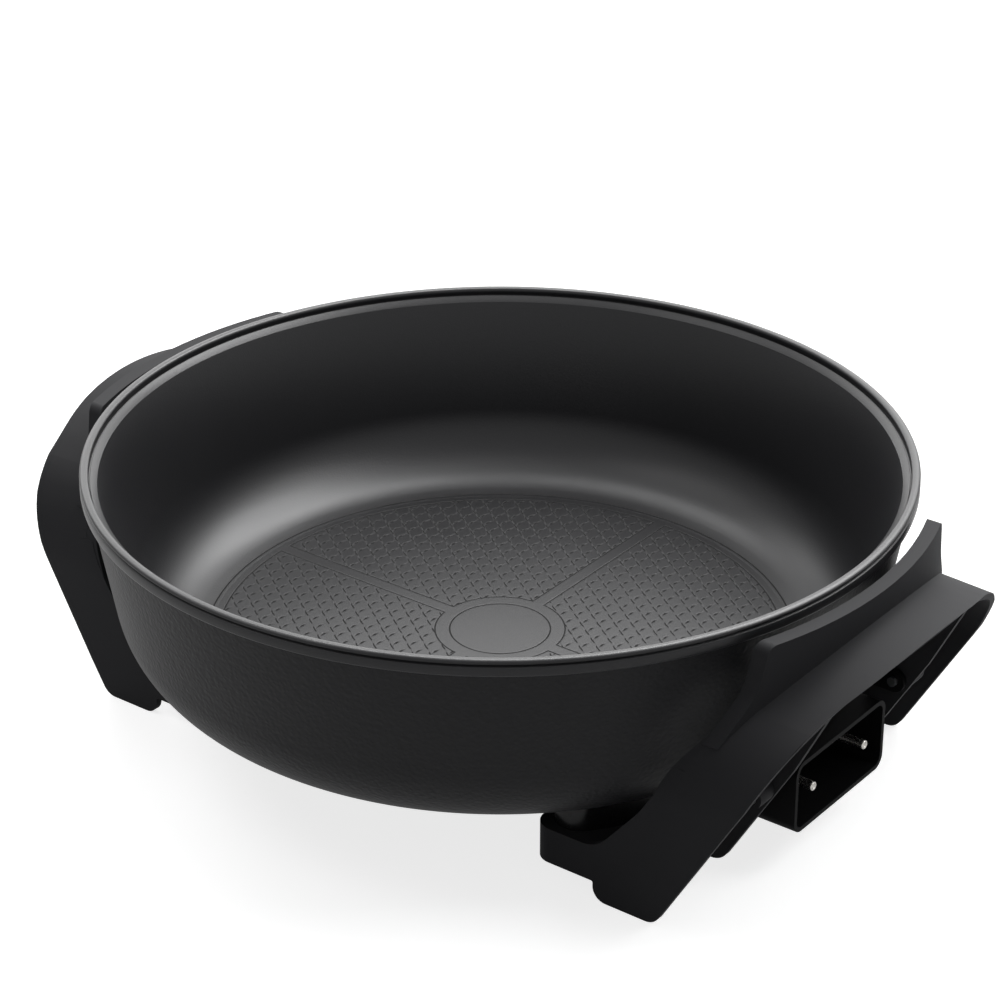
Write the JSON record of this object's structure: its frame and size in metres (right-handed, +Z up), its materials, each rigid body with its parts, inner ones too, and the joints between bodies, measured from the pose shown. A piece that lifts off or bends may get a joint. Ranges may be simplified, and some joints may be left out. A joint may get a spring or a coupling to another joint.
{
  "type": "electric skillet",
  "caption": "Deep round electric skillet without a lid: cast non-stick pan with a rolled rim, arched moulded handle-and-leg units on both sides, plug-in control socket in one of them.",
  "frame": {"origin": "on the table under the pan's axis, at the centre of the object's footprint", "axes": "+X towards the unit that holds the socket, +Z up, +Y to the left of someone looking along +X"},
  "size_m": [0.407, 0.34, 0.1225],
  "materials": {
    "nonstick": "cast, non-stick coated",
    "sheath_steel": "satin",
    "pin_plating": "nickel plated",
    "ceramic": "unglazed",
    "plate_steel": "zinc plated",
    "screw_steel": "zinc plated",
    "socket_plastic": "matt",
    "handle_plastic": "fine grained",
    "spacer_plastic": "smooth"
  },
  "bodies": {
    "root": {"pan": "nonstick", "heating_element": "sheath_steel", "near_terminal_pin": "pin_plating", "far_terminal_pin": "pin_plating", "near_pin_insulator": "ceramic", "far_pin_insulator": "ceramic", "probe_sleeve": "sheath_steel", "terminal_plate": "plate_steel", "terminal_plate_screws": "screw_steel", "socket_shroud": "socket_plastic", "near_shroud_screw": "screw_steel", "far_shroud_screw": "screw_steel", "right_handle": "handle_plastic", "left_handle": "handle_plastic", "right_pan_spacer": "spacer_plastic", "left_pan_spacer": "spacer_plastic", "right_handle_screws": "screw_steel", "left_handle_screws": "screw_steel", "right_screw_washers": "screw_steel", "left_screw_washers": "screw_steel"}
  },
  "joints": []
}
